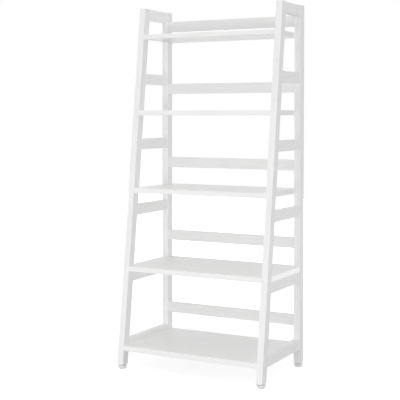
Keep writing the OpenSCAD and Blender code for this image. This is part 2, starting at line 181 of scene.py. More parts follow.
class BookcaseStage(bpy.types.PropertyGroup):
    """The camera, the room, the lamps and the floor."""
    camera_place: FloatVectorProperty(
        name="Camera place", description="Where the camera stands",
        default=(1.9059, -3.6408, 1.0640), subtype="TRANSLATION", unit="LENGTH")
    camera_turn: FloatProperty(
        name="Camera turn", description="How far the camera is turned to the left of straight ahead",
        default=math.radians(28.263), unit="ROTATION")
    camera_tilt: FloatProperty(
        name="Camera tilt", description="How far the camera looks down",
        default=math.radians(2), unit="ROTATION")
    camera_lens: FloatProperty(name="Lens", description="Focal length in millimetres", default=88.241)
    camera_shift: FloatProperty(
        name="Shift", description="How far the frame lies below the lens's axis, as a share of its width",
        default=-0.1259)
    room_level: FloatProperty(
        name="Room level", description="Brightness of the white room round the object", default=0.53)
    key_power: FloatProperty(
        name="Key power", description="Power of the soft lamp low in front", default=20, unit="POWER")
    top_power: FloatProperty(
        name="Top lamp power", description="Power of the soft lamp above", default=13, unit="POWER")
    side_power: FloatProperty(
        name="Side lamp power", description="Power of the lamp high on the right", default=29, unit="POWER")
    side_fill: FloatProperty(
        name="Side fill", description="Strength of the even fill from the right", default=0.425)
    front_fill: FloatProperty(
        name="Front fill", description="Strength of the even fill from in front", default=0.7)
    far_fill: FloatProperty(
        name="Far fill", description="Strength of the even fills from behind and from the left", default=0.58)
    top_fill: FloatProperty(
        name="Top fill", description="Strength of the even fill from above", default=0.43)
    floor_size: FloatProperty(
        name="Floor size", description="Width of the floor", default=16, unit="LENGTH")
    floor_level: FloatProperty(
        name="Floor level", description="Extra white that the camera sees in the floor near the object",
        default=0.63)
    floor_rise: FloatProperty(
        name="Floor rise", description="How much more white it sees far from the object", default=0.5)


# Meshes

def piece_from(name, points, quads, triangles, body, slot):
    """A mesh object from arrays of points, quads and triangles, shaded smooth below the sharp angle.
    It rides on a body. slot is not used."""
    mesh = bpy.data.meshes.new(name)
    corners = np.concatenate([quads.ravel(), triangles.ravel()])
    starts = np.concatenate([4 * np.arange(len(quads)), 4 * len(quads) + 3 * np.arange(len(triangles))])
    mesh.vertices.add(len(points))
    mesh.vertices.foreach_set("co", points.ravel())
    mesh.loops.add(len(corners))
    mesh.loops.foreach_set("vertex_index", corners)
    mesh.polygons.add(len(starts))
    mesh.polygons.foreach_set("loop_start", starts)
    mesh.update(calc_edges=True)
    mesh.polygons.foreach_set("use_smooth", np.ones(len(starts), bool))
    mesh.set_sharp_from_angle(angle=SHARP_ANGLE)
    piece = bpy.data.objects.new(name, mesh)
    bpy.context.scene.collection.objects.link(piece)
    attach(piece, body)
    return piece


def ring_faces(rings, around, closed):
    """Quads between neighbouring rings of a grid: corner (i, j), (i, j+1), (i+1, j+1), (i+1, j)."""
    last = rings if closed else rings - 1
    i, j = np.meshgrid(np.arange(last), np.arange(around), indexing="ij")
    up, on = (i + 1) % rings, (j + 1) % around
    quads = np.stack([i * around + j, i * around + on, up * around + on, up * around + j], axis=-1)
    return quads.reshape(-1, 4)


def ring_points(heights, radii, around):
    """Points (r cos a, r sin a, h) of rings round +Z, with a = 2 pi j / n.
    A radius may change along its ring."""
    radii = np.broadcast_to(np.asarray(radii, float).reshape(len(heights), -1), (len(heights), around))
    angle = np.arange(around) * 2 * math.pi / around
    level = np.broadcast_to(np.asarray(heights, float)[:, None], radii.shape)
    return np.stack([radii * np.cos(angle), radii * np.sin(angle), level], axis=-1).reshape(-1, 3)


def turned(heights, radii, around):
    """A turned solid round +Z: points, quads between its rings, and the triangles that close each end
    on a point of the axis."""
    points = np.vstack([ring_points(heights, radii, around), [[0, 0, heights[0]], [0, 0, heights[-1]]]])
    count = len(heights) * around
    first = np.arange(around)
    after = (first + 1) % around
    top = count - around
    low_fan = np.stack([after, first, np.full(around, count)], axis=-1)
    top_fan = np.stack([top + first, top + after, np.full(around, count + 1)], axis=-1)
    return points, ring_faces(len(heights), around, False), np.vstack([low_fan, top_fan])


def turned_ring(heights, radii, around):
    """A turned solid with a bore: the rings run round its section, and the last one joins the first."""
    return ring_points(heights, radii, around), ring_faces(len(heights), around, True), np.zeros((0, 3), int)


def section(rings, around):
    """What turned and turned_ring take: heights, radii and the number of points round, made from rings.
    A ring is a height and a radius, and the radius is one number or one for each of its points."""
    heights = [height for height, radius in rings]
    radii = np.array([np.broadcast_to(radius, around) for height, radius in rings])
    return heights, radii, around


def thread(heights, around, outer, depth, pitch, start, end, run_out):
    """Radii of a thread: outer - depth * tooth, where tooth is the triangle wave of h / pitch - a / (2 pi).
    The depth fades to nothing over run_out at both ends."""
    h = np.asarray(heights, float)[:, None]
    a = np.arange(around)[None, :] / around
    phase = (h / pitch - a) % 1
    tooth = np.abs(2 * phase - 1)
    fade = np.clip(np.minimum(h - start, end - h) / run_out, 0, 1)
    return outer - depth * tooth * fade


def moved(shape, middle):
    """A turned solid moved sideways from the Z axis to the axis through a middle point."""
    points, quads, triangles = shape
    return points + np.array([middle[0], middle[1], 0]), quads, triangles


def repeated(shape, places):
    """Copies of one solid: its arrays of points, quads and triangles, once for each turn and place."""
    points, quads, triangles = shape
    step = len(points) * np.arange(len(places))[:, None, None]
    copies = np.stack([points @ turn + place for turn, place in places])
    return copies.reshape(-1, 3), (quads + step).reshape(-1, 4), (triangles + step).reshape(-1, 3)


def along_x(side):
    """The turn of a solid that was made round +Z so that its +Z runs along X, towards side."""
    return np.array([[0, 1, 0], [0, 0, side], [side, 0, 0]], float)


def filleted(corners, radius, steps=4):
    """A closed outline with round corners. At each corner, the curve is the quadratic one from a point
    at radius before it to a point at radius after it, with the corner as its middle control point."""
    corners = np.asarray(corners, float)
    before = np.roll(corners, 1, axis=0) - corners
    after = np.roll(corners, -1, axis=0) - corners
    before_l = np.linalg.norm(before, axis=1)[:, None]
    after_l = np.linalg.norm(after, axis=1)[:, None]
    reach = np.minimum(radius, LONGEST_FILLET * np.minimum(before_l, after_l))
    start = corners + before / before_l * reach
    end = corners + after / after_l * reach
    t = np.linspace(0, 1, steps + 1)[None, :, None]
    curve = (1 - t) ** 2 * start[:, None] + 2 * t * (1 - t) * corners[:, None] + t ** 2 * end[:, None]
    return curve.reshape(-1, 2)


def vertices(node):
    """The vertices of a node of the frame, as an array."""
    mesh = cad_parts[node].data
    flat = np.zeros(len(mesh.vertices) * 3)
    mesh.vertices.foreach_get("co", flat)
    return flat.reshape(-1, 3)


def solids_at_ends(group, board, split_y):
    """Boxes of a group's solids that belong to one board: one at each end, or one at each corner.
    They are the vertices at the board's level, parted by the signs of x and of y - split_y."""
    low, high = (np.array(corner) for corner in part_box(board))
    points = vertices(group)
    level = (points[:, 2] > low[2] - MM) & (points[:, 2] < high[2] + MM)
    found = []
    for side in (-1, 1):
        for edge in (-1, 1) if split_y is not None else (0,):
            chosen = points[level & (points[:, 0] * side > 0)]
            if edge:
                chosen = chosen[(chosen[:, 1] - split_y) * edge > 0]
            found.append((side, chosen.min(axis=0), chosen.max(axis=0)))
    return found


# Shader nodes

MIX_FIRST, MIX_SECOND, MIX_COLOUR = 6, 7, 2


def add(tree, kind, inputs=None, **settings):
    """Adds a node, sets it up, and gives each listed input a value or a link."""
    made = tree.nodes.new(kind)
    for key, value in settings.items():
        setattr(made, key, value)
    for key, value in (inputs or {}).items():
        if isinstance(value, bpy.types.NodeSocket):
            tree.links.new(value, made.inputs[key])
        else:
            made.inputs[key].default_value = value
    return made


def maths(tree, operation, first, second=None):
    """The output of a Math node."""
    inputs = {0: first} if second is None else {0: first, 1: second}
    return add(tree, "ShaderNodeMath", inputs, operation=operation).outputs[0]


def mixed(tree, factor, first, second):
    """The colour output of a Mix node. Its colour sockets share their names with others, so they go by
    number."""
    made = add(tree, "ShaderNodeMix", {"Factor": factor, MIX_FIRST: first, MIX_SECOND: second},
               data_type="RGBA")
    return made.outputs[MIX_COLOUR]


def summed(tree, pairs):
    """The sum of pairs, where each pair is a value and the factor that it is multiplied by."""
    scaled = [maths(tree, "MULTIPLY", value, factor) for value, factor in pairs]
    total = scaled[0]
    for part in scaled[1:]:
        total = maths(tree, "ADD", total, part)
    return total


def swing(tree, value, reach):
    """A noise value as a swing round zero, (value - 0.5) * reach."""
    return maths(tree, "MULTIPLY", maths(tree, "SUBTRACT", value, 0.5), reach)


def stretched_noise(tree, vector, stretch, scale, detail, roughness):
    """A noise value on coordinates that are first scaled along each axis."""
    scaled = add(tree, "ShaderNodeMapping", {"Vector": vector, "Scale": stretch}).outputs[0]
    made = add(tree, "ShaderNodeTexNoise",
               {"Vector": scaled, "Scale": scale, "Detail": detail, "Roughness": roughness})
    return made.outputs["Fac"]


def ramped(tree, value, low, high, to_low=0.0, to_high=1.0):
    """A value carried smoothly from one range to another."""
    return add(tree, "ShaderNodeMapRange",
               {"Value": value, "From Min": low, "From Max": high, "To Min": to_low, "To Max": to_high},
               interpolation_type="SMOOTHSTEP").outputs["Result"]


def new_group(name, inputs, outputs):
    """An empty node group with named sockets, and the sockets of its input and output nodes.
    Each material gives every input its own value."""
    group = bpy.data.node_groups.new(name, "ShaderNodeTree")
    for way, sockets in (("INPUT", inputs), ("OUTPUT", outputs)):
        for socket, kind in sockets:
            group.interface.new_socket(socket, in_out=way, socket_type="NodeSocket" + kind)
    return group, group.nodes.new("NodeGroupInput").outputs, group.nodes.new("NodeGroupOutput").inputs


def lacquer_film():
    """Sprayed lacquer on wood: figure and grain that show faintly along X, orange peel, and a slow
    change of tone."""
    group, given, out = new_group("Lacquer Film", [
        ("Vector", "Vector"), ("Colour", "Color"), ("Shade", "Color"),
        ("Grain Depth", "Float"), ("Peel Depth", "Float"), ("Base Roughness", "Float"),
    ], [("Colour", "Color"), ("Roughness", "Float"), ("Height", "Float")])
    link = group.links.new
    vector = given["Vector"]
    slow = stretched_noise(group, vector, *SLOW_TONE)
    figure = stretched_noise(group, vector, *FIGURE)
    grain = stretched_noise(group, vector, *GRAIN)
    pores = ramped(group, stretched_noise(group, vector, *PORES), *PORE_RAMP)
    peel = stretched_noise(group, vector, *ORANGE_PEEL)
    tone = summed(group, [
        (ramped(group, slow, *SLOW_RAMP), SLOW_SHARE), (ramped(group, grain, *GRAIN_RAMP), GRAIN_SHARE),
        (ramped(group, figure, *FIGURE_RAMP), FIGURE_SHARE),
    ])
    link(mixed(group, tone, given["Shade"], given["Colour"]), out["Colour"])
    rubbed = maths(group, "ADD", given["Base Roughness"], swing(group, slow, SLOW_SWING))
    link(maths(group, "ADD", rubbed, swing(group, peel, PEEL_SWING)), out["Roughness"])
    ridges = maths(group, "SUBTRACT", grain, pores)
    link(summed(group, [(ridges, given["Grain Depth"]), (peel, given["Peel Depth"])]), out["Height"])
    return group


def plated_metal():
    """Plated or machined metal: cloudy tone, fine scratches, and a rougher film in places."""
    group, given, out = new_group("Plated Metal", [
        ("Vector", "Vector"), ("Colour", "Color"), ("Cloud", "Float"),
        ("Scratch Depth", "Float"), ("Base Roughness", "Float"),
    ], [("Colour", "Color"), ("Roughness", "Float"), ("Height", "Float")])
    link = group.links.new
    vector = given["Vector"]
    cloud = ramped(group, stretched_noise(group, vector, *METAL_CLOUD), *CLOUD_RAMP)
    scratch = stretched_noise(group, vector, *SCRATCHES)
    dull = mixed(group, TARNISH_SHARE, given["Colour"], TARNISH)
    link(mixed(group, maths(group, "MULTIPLY", cloud, given["Cloud"]), given["Colour"], dull), out["Colour"])
    clouded = maths(group, "ADD", given["Base Roughness"], maths(group, "MULTIPLY", cloud, CLOUD_SWING))
    link(maths(group, "ADD", clouded, maths(group, "MULTIPLY", scratch, SCRATCH_SWING)), out["Roughness"])
    link(maths(group, "MULTIPLY", scratch, given["Scratch Depth"]), out["Height"])
    return group


def spark_texture():
    """The fine matt texture that an eroded mould leaves on plastic."""
    group, given, out = new_group("Spark Texture", [
        ("Vector", "Vector"), ("Colour", "Color"), ("Depth", "Float"),
    ], [("Colour", "Color"), ("Roughness", "Float"), ("Height", "Float")])
    link = group.links.new
    pits = stretched_noise(group, given["Vector"], *SPARK_PITS)
    cloud = ramped(group, stretched_noise(group, given["Vector"], *NYLON_CLOUD), *CLOUD_RAMP)
    link(mixed(group, maths(group, "MULTIPLY", cloud, NYLON_CLOUD_SHARE), given["Colour"], DULL_NYLON),
         out["Colour"])
    link(ramped(group, pits, *PIT_RAMP, *NYLON_ROUGHNESS), out["Roughness"])
    link(maths(group, "MULTIPLY", pits, given["Depth"]), out["Height"])
    return group


def rgba(colour):
    """A colour property as four numbers."""
    return (*colour, 1.0)


def surface(name, group, values, turn=(0, 0, 0), **shader):
    """A material whose Principled BSDF takes its colour, roughness and bump from an effect group.
    turn brings the grain, which runs along X in the group, onto the piece's own length."""
    material = bpy.data.materials.new(name)
    material.use_nodes = True
    tree = material.node_tree
    bsdf = tree.nodes["Principled BSDF"]
    place = add(tree, "ShaderNodeTexCoord").outputs["Object"]
    if any(turn):
        place = add(tree, "ShaderNodeMapping", {"Vector": place, "Rotation": turn}).outputs[0]
    film = add(tree, "ShaderNodeGroup", node_tree=group)
    tree.links.new(place, film.inputs["Vector"])
    for key, value in values.items():
        film.inputs[key].default_value = value
    bump = add(tree, "ShaderNodeBump", {"Height": film.outputs["Height"], "Strength": 1.0, "Distance": 1.0})
    tree.links.new(film.outputs["Colour"], bsdf.inputs["Base Color"])
    tree.links.new(film.outputs["Roughness"], bsdf.inputs["Roughness"])
    tree.links.new(bump.outputs["Normal"], bsdf.inputs["Normal"])
    for key, value in shader.items():
        bsdf.inputs[key.replace("_", " ")].default_value = value
    return material


def effect(make):
    """The shared effect group that a function makes, built once."""
    name = make.__name__.replace("_", " ").title()
    return bpy.data.node_groups.get(name) or make()


def lacquer(name, colour, shade, turn, peel):
    """White lacquer with its grain turned onto a piece's length."""
    return surface(name, effect(lacquer_film), {
        "Colour": rgba(colour), "Shade": rgba(shade), "Grain Depth": GRAIN_DEPTH, "Peel Depth": peel,
        "Base Roughness": LACQUER_ROUGHNESS,
    }, turn=turn, Coat_Weight=LACQUER_COAT, Coat_Roughness=COAT_ROUGHNESS)


def metal(name, colour, cloud, roughness):
    """Plated steel or machined brass. cloud is how much of the tarnish shows in its clouds."""
    return surface(name, effect(plated_metal), {
        "Colour": rgba(colour), "Cloud": cloud, "Scratch Depth": SCRATCH_DEPTH, "Base Roughness": roughness,
    }, Metallic=1.0)


def paint(nodes, material):
    """Gives nodes of the frame a material."""
    for name in nodes:
        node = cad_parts[name]
        node.material_slots[0].material = material


def colours():
    """The colour settings of the scene."""
    return bpy.context.scene.bookcase_colours


def sizes():
    """The size settings of the scene."""
    return bpy.context.scene.bookcase_sizes


# Operators

class BOOKCASE_OT_legs(bpy.types.Operator):
    """Lacquer the four legs, with the grain along each leg"""
    bl_idname = "bookcase.legs"
    bl_label = "Legs"

    def execute(self, context):
        low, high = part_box(FRONT_LEGS[0])
        rear_low, rear_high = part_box(REAR_LEGS[0])
        run = high.y - low.y - (rear_high.y - rear_low.y)
        lean = math.atan2(run, high.z - low.z)
        self.finish(REAR_LEGS, "lacquer_upright", (0, QUARTER_TURN, 0))
        self.finish(FRONT_LEGS, "lacquer_leaning", (lean, QUARTER_TURN, 0))
        return {"FINISHED"}

    def finish(self, legs, name, turn):
        """Lacquers the legs of one kind."""
        c = colours()
        paint(legs, lacquer(name, c.lacquer, c.lacquer_shade, turn, WOOD_PEEL_DEPTH))


class BOOKCASE_OT_rails(bpy.types.Operator):
    """Lacquer the side rails and the back rails, with the grain along each rail"""
    bl_idname = "bookcase.rails"
    bl_label = "Rails"

    def execute(self, context):
        c = colours()
        front_to_back, left_to_right = (0, 0, QUARTER_TURN), (0, 0, 0)
        # The side rails' paler white is painted light, lightened to stand in for light their faces lack
        side = lacquer("lacquer_side_rail", c.side_lacquer, c.lacquer_shade, front_to_back, WOOD_PEEL_DEPTH)
        # The back rails' deeper white is painted shade, darkened for the shade behind the shelves
        back = lacquer("lacquer_back_rail", c.back_lacquer, c.back_shade, left_to_right, WOOD_PEEL_DEPTH)
        paint(SIDE_RAILS, side)
        paint(BACK_RAILS, back)
        return {"FINISHED"}


class BOOKCASE_OT_shelves(bpy.types.Operator):
    """Lacquer the shelves, and band the ends that lie on the side rails, paler as a painted highlight and
    glossier
    """
    bl_idname = "bookcase.shelves"
    bl_label = "Shelves"

    BAND_FADE = 0.1 * MM
    HAIRLINE_OUTER, HAIRLINE_INNER = 0.12 * MM, 0.04 * MM
    HAIRLINE_SHARE = 0.35
    END_COAT, END_ROUGHNESS = 1, 0.6     # the roughness as a share of the sprayed faces'

    def execute(self, context):
        c = colours()
        material = lacquer("lacquer_board", c.board, c.lacquer_shade, (0, 0, 0), BOARD_PEEL_DEPTH)
        # The ends over the side rails: a painted highlight in their paler white, and a glossier coat
        end_band = self.band(material, self.depth_from_end(material.node_tree), rgba(c.end_band))
        self.polish(material, end_band)
        paint(SHELVES, material)
        return {"FINISHED"}

    def depth_from_end(self, tree):
        """The way in from the ends of the widest shelf, which reach out over the side rails."""
        half_width = max(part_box(n)[1].x for n in SHELVES)
        coordinates = add(tree, "ShaderNodeTexCoord").outputs["Object"]
        place = add(tree, "ShaderNodeSeparateXYZ", {0: coordinates}).outputs
        return maths(tree, "SUBTRACT", half_width, maths(tree, "ABSOLUTE", place["X"]))

    def band(self, material, depth, colour):
        """Adds a band, paler as a painted highlight, up to one band's thickness deep, and the hairline behind
        it.
        Gives the band's mask."""
        tree = material.node_tree
        bsdf = tree.nodes["Principled BSDF"]
        thickness = sizes().band_t
        banded = ramped(tree, depth, thickness + self.BAND_FADE, thickness)
        from_joint = maths(tree, "ABSOLUTE", maths(tree, "SUBTRACT", depth, thickness))
        hairline = ramped(tree, from_joint, self.HAIRLINE_OUTER, self.HAIRLINE_INNER)
        # pale: the band lighter than the board, a painted highlight
        pale = mixed(tree, banded, bsdf.inputs["Base Color"].links[0].from_socket, colour)
        lined = mixed(tree, maths(tree, "MULTIPLY", hairline, self.HAIRLINE_SHARE), pale, HAIRLINE)
        tree.links.new(lined, bsdf.inputs["Base Color"])
        return banded

    def polish(self, material, mask):
        """Makes a banded end glossier than the sprayed faces."""
        tree = material.node_tree
        bsdf = tree.nodes["Principled BSDF"]
        coat = ramped(tree, mask, 0, 1, LACQUER_COAT, self.END_COAT)
        sprayed = bsdf.inputs["Roughness"].links[0].from_socket
        rough = maths(tree, "MULTIPLY", sprayed, ramped(tree, mask, 0, 1, 1, self.END_ROUGHNESS))
        tree.links.new(coat, bsdf.inputs["Coat Weight"])
        tree.links.new(rough, bsdf.inputs["Roughness"])


class BOOKCASE_OT_foot_studs(bpy.types.Operator):
    """Turn the four foot studs, with a rivet head, a hexagon collar and a real thread"""
    bl_idname = "bookcase.foot_studs"
    bl_label = "Foot studs"

    RIVET_T, NECK_R, THREAD_R = 1.5 * MM, 3 * MM, 4 * MM
    # The rivet head's section: heights above its underside, and radii
    RIVET_HEAD = (
        (0, 2.2 * MM), (0, 4.2 * MM), (0.3 * MM, 4.8 * MM), (0.8 * MM, 5 * MM), (RIVET_T, 5 * MM),
    )
    COLLAR_T, COLLAR_FLAT_R, COLLAR_CHAMFER = 2.5 * MM, 6.5 * MM, 0.5 * MM
    FACE_INSET, CUT_REACH, CUT_SHARE = 0.2 * MM, 0.35 * MM, 0.25
    THREAD_DEPTH, RUN_OUT = 0.61, 0.8    # as shares of the pitch
    TIP_L, TIP_FLAT_R = 1 * MM, 1.5 * MM
    AROUND = 72
    RINGS_PER_TURN = 8

    def execute(self, context):
        pitch = sizes().stud_pitch
        material = metal("zinc_stud", colours().zinc, cloud=0.5, roughness=0.28)
        for foot in FEET:
            node = "foot_stud_" + foot
            low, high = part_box(node)
            collar_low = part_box("foot_pad_" + foot)[1].z
            shape = moved(self.shape(low.z, collar_low, high.z, pitch), (low + high) / 2)
            piece = piece_from("stud_" + foot, *shape, "stud_" + foot, "zinc_steel")
            piece.data.materials.append(material)
            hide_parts(node)
        return {"FINISHED"}

    def shape(self, low, collar_low, tip, pitch):
        """Rings from the rivet's underside up to the tip. The hexagon's radius at angle a, in degrees, is
        flat / cos((a mod 60) - 30), cut at its corners by a cone."""
        a = np.degrees(np.arange(self.AROUND) * 2 * math.pi / self.AROUND)
        hexagon = self.COLLAR_FLAT_R / np.cos(np.radians(a % 60 - 30))
        face = np.minimum(hexagon, self.COLLAR_FLAT_R - self.FACE_INSET)
        cut = np.minimum(hexagon, self.COLLAR_FLAT_R + self.CUT_REACH)
        whole, part = self.COLLAR_CHAMFER, self.CUT_SHARE * self.COLLAR_CHAMFER
        collar_top, thread_end = collar_low + self.COLLAR_T, tip - self.TIP_L
        count = int((thread_end - collar_top) / pitch * self.RINGS_PER_TURN)
        run = np.linspace(collar_top, thread_end, count)
        threaded = thread(run, self.AROUND, self.THREAD_R, self.THREAD_DEPTH * pitch, pitch,
                          collar_top, tip, self.RUN_OUT * pitch)
        rings = [
            *((low + height, radius) for height, radius in self.RIVET_HEAD),
            (low + self.RIVET_T, self.NECK_R), (collar_low, self.NECK_R),
            (collar_low, face), (collar_low + part, cut), (collar_low + whole, hexagon),
            (collar_top - whole, hexagon), (collar_top - part, cut), (collar_top, face),
            *zip(run, threaded),
            (tip, self.THREAD_R - self.TIP_L), (tip, self.TIP_FLAT_R),
        ]
        return turned(*section(rings, self.AROUND))


class BOOKCASE_OT_foot_pads(bpy.types.Operator):
    """Turn the four foot pads, with an upright rim, a tapered side and a recess below"""
    bl_idname = "bookcase.foot_pads"
    bl_label = "Foot pads"

    BORE_R, RECESS_R, RECESS_H = 3.08 * MM, 6.5 * MM, 2.8 * MM
    SOLE_R, SOLE_EDGE, RIM_H = 14 * MM, 1 * MM, 4 * MM
    AROUND = 96

    def execute(self, context):
        material = surface("nylon_pad", effect(spark_texture),
                           {"Colour": rgba(colours().nylon), "Depth": SPARK_DEPTH},
                           Subsurface_Weight=NYLON_GLOW, Subsurface_Scale=NYLON_GLOW_DEPTH)
        for foot in FEET:
            node = "foot_pad_" + foot
            low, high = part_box(node)
            shape = self.shape((high.x - low.x) / 2, high.z, sizes().pad_fillet)
            shape = moved(shape, (low + high) / 2)
            piece = piece_from("pad_" + foot, *shape, "pad_" + foot, "pad_plastic")
            piece.data.materials.append(material)
            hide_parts(node)
        return {"FINISHED"}

    def shape(self, rim_r, height, fillet):
        """The outline runs round the pad's wall: recess, sole, taper, rim, top and bore."""
        outline = filleted([
            (self.BORE_R, self.RECESS_H), (self.RECESS_R, self.RECESS_H), (self.RECESS_R, 0),
            (self.SOLE_R - self.SOLE_EDGE, 0), (self.SOLE_R, self.SOLE_EDGE), (rim_r, height - self.RIM_H),
            (rim_r, height), (self.BORE_R, height),
        ], fillet)
        return turned_ring(outline[:, 1], outline[:, 0], self.AROUND)


class BOOKCASE_OT_inserts(bpy.types.Operator):
    """Turn the threaded inserts in the leg ends"""
    bl_idname = "bookcase.inserts"
    bl_label = "Threaded inserts"

    BORE_R, OUTER_R, CHAMFER = 4.08 * MM, 6 * MM, 0.3 * MM
    PLAIN_END, RUN_OUT = 0.4 * MM, 1.2 * MM
    AROUND = 48
    RINGS_PER_TURN = 10

    def execute(self, context):
        s = sizes()
        points = vertices("threaded_inserts")
        low, top = points[:, 2].min(), points[:, 2].max()
        places = []
        for side in (-1, 1):
            for edge in (-1, 1):
                chosen = points[(points[:, 0] * side > 0) & (points[:, 1] * edge > 0)]
                middle = (chosen.min(axis=0) + chosen.max(axis=0)) / 2
                places.append((np.eye(3), np.array([middle[0], middle[1], 0])))
        shape = self.shape(low, top, s.insert_pitch, s.insert_thread_depth)
        piece = piece_from("inserts", *repeated(shape, places), "frame", "insert_brass")
        piece.data.materials.append(metal("brass_insert", colours().brass, cloud=0.3, roughness=0.25))
        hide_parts("threaded_inserts")
        return {"FINISHED"}

    def shape(self, low, top, pitch, depth):
        """Up the threaded outside, then down the plain bore."""
        count = int((top - low) / pitch * self.RINGS_PER_TURN)
        run = np.linspace(low + self.PLAIN_END, top - self.PLAIN_END, count)
        outside = thread(run, self.AROUND, self.OUTER_R, depth, pitch, low, top, self.RUN_OUT)
        inner, outer, c = self.BORE_R + self.CHAMFER, self.OUTER_R - self.CHAMFER, self.CHAMFER
        rings = [(low, inner), (low, outer), *zip(run, outside), (top, outer), (top, inner),
                 (top - c, self.BORE_R), (low + c, self.BORE_R)]
        return turned_ring(*section(rings, self.AROUND))


class BOOKCASE_OT_cams(bpy.types.Operator):
    """Plate the cam locks"""
    bl_idname = "bookcase.cams"
    bl_label = "Cam locks"

    def execute(self, context):
        material = metal("zinc_cam", colours().zinc, cloud=0.8, roughness=0.38)
        paint(["shelf_cams", "back_rail_cams"], material)
        return {"FINISHED"}


class BOOKCASE_OT_cam_bolts(bpy.types.Operator):
    """Turn the cam bolts, with a coarse wood thread in the leg"""
    bl_idname = "bookcase.cam_bolts"
    bl_label = "Cam bolts"

    THREAD_L, COLLAR_L, NECK_L, HEAD_L = 11.5 * MM, 2 * MM, 2.5 * MM, 2.5 * MM
    OUTER_R, SHANK_R, NECK_R, POINT_R = 3 * MM, 2.5 * MM, 2 * MM, 0.6 * MM
    POINT_L, COLLAR_CHAMFER = 0.8 * MM, 0.2 * MM
    NECK_SLOPE_L, HEAD_SLOPE_L, HEAD_CHAMFER_L, HEAD_CHAMFER_R = 0.5 * MM, 0.4 * MM, 0.5 * MM, 0.7 * MM
    AROUND = 24
    RINGS_PER_TURN = 8

    def execute(self, context):
        s = sizes()
        material = metal("zinc_bolt", colours().zinc, cloud=0.4, roughness=0.24)
        for group, boards, cornered in (("shelf_cam_bolts", SHELVES, True),
                                        ("back_rail_cam_bolts", BACK_RAILS, False)):
            places = []
            for board in boards:
                split_y = (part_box(board)[0].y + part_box(board)[1].y) / 2 if cornered else None
                for side, low, high in solids_at_ends(group, board, split_y):
                    middle = (low + high) / 2
                    length, outer_end = high[0] - low[0], high[0] if side > 0 else low[0]
                    places.append((along_x(-side), np.array([outer_end, middle[1], middle[2]])))
            shape = self.shape(length, s.bolt_pitch, s.bolt_thread_depth)
            piece = piece_from(group.replace("_cam_", "_"), *repeated(shape, places), "frame", "zinc_steel")
            piece.data.materials.append(material)
            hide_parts(group)
        return {"FINISHED"}

    def shape(self, length, pitch, depth):
        """From the point in the leg: thread, collar, shank, neck and the head that the cam pulls."""
        run = np.linspace(self.POINT_L, self.THREAD_L, int(self.THREAD_L / pitch * self.RINGS_PER_TURN))
        threaded = thread(run, self.AROUND, self.OUTER_R, depth, pitch, 0, self.THREAD_L, self.POINT_L)
        collar_end = self.THREAD_L + self.COLLAR_L
        head_start = length - self.HEAD_L
        neck_start = head_start - self.NECK_L
        rings = [
            (0, self.POINT_R), *zip(run, threaded), (self.THREAD_L, self.OUTER_R),
            (collar_end - self.COLLAR_CHAMFER, self.OUTER_R),
            (collar_end, self.OUTER_R - self.COLLAR_CHAMFER),
            (collar_end, self.SHANK_R), (neck_start, self.SHANK_R),
            (neck_start + self.NECK_SLOPE_L, self.NECK_R), (head_start, self.NECK_R),
            (head_start + self.HEAD_SLOPE_L, self.SHANK_R), (length - self.HEAD_CHAMFER_L, self.SHANK_R),
            (length, self.SHANK_R - self.HEAD_CHAMFER_R),
        ]
        return turned(*section(rings, self.AROUND))


class BOOKCASE_OT_dowels(bpy.types.Operator):
    """Turn the fluted dowels of the back rails"""
    bl_idname = "bookcase.dowels"
    bl_label = "Dowels"

    RADIUS, CHAMFER = 4 * MM, 1 * MM
    SHOULDER_H, SHOULDER_R = 0.6, 0.7    # where the chamfer bulges, as shares of its height and reach
    AROUND = 96

    def execute(self, context):
        s = sizes()
        places = []
        for board in BACK_RAILS:
            for _, low, high in solids_at_ends("back_rail_dowels", board, None):
                middle, length = (low + high) / 2, high[0] - low[0]
                places.append((along_x(1), np.array([low[0], middle[1], middle[2]])))
        shape = self.shape(length, s.dowel_flutes, s.flute_depth)
        piece = piece_from("dowels", *repeated(shape, places), "frame", "beech")
        beech = colours().beech
        material = surface("beech_dowel", effect(lacquer_film), {
            "Colour": rgba(beech), "Shade": rgba([DOWEL_SHADE * value for value in beech]),
            "Grain Depth": DOWEL_GRAIN_DEPTH, "Peel Depth": 0.0, "Base Roughness": DOWEL_ROUGHNESS,
        })
        piece.data.materials.append(material)
        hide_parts("back_rail_dowels")
        return {"FINISHED"}

    def shape(self, length, flutes, depth):
        """The radius is r - depth * (1 + cos(n a)) / 2, and the ends are chamfered."""
        a = np.arange(self.AROUND) * 2 * math.pi / self.AROUND
        body = self.RADIUS - depth * (1 + np.cos(flutes * a)) / 2
        tip = self.RADIUS - self.CHAMFER
        shoulder = tip + self.SHOULDER_R * (body - tip)
        bulge, chamfer = self.SHOULDER_H * self.CHAMFER, self.CHAMFER
        rings = [(0, tip), (bulge, shoulder), (chamfer, body),
                 (length - chamfer, body), (length - bulge, shoulder), (length, tip)]
        return turned(*section(rings, self.AROUND))


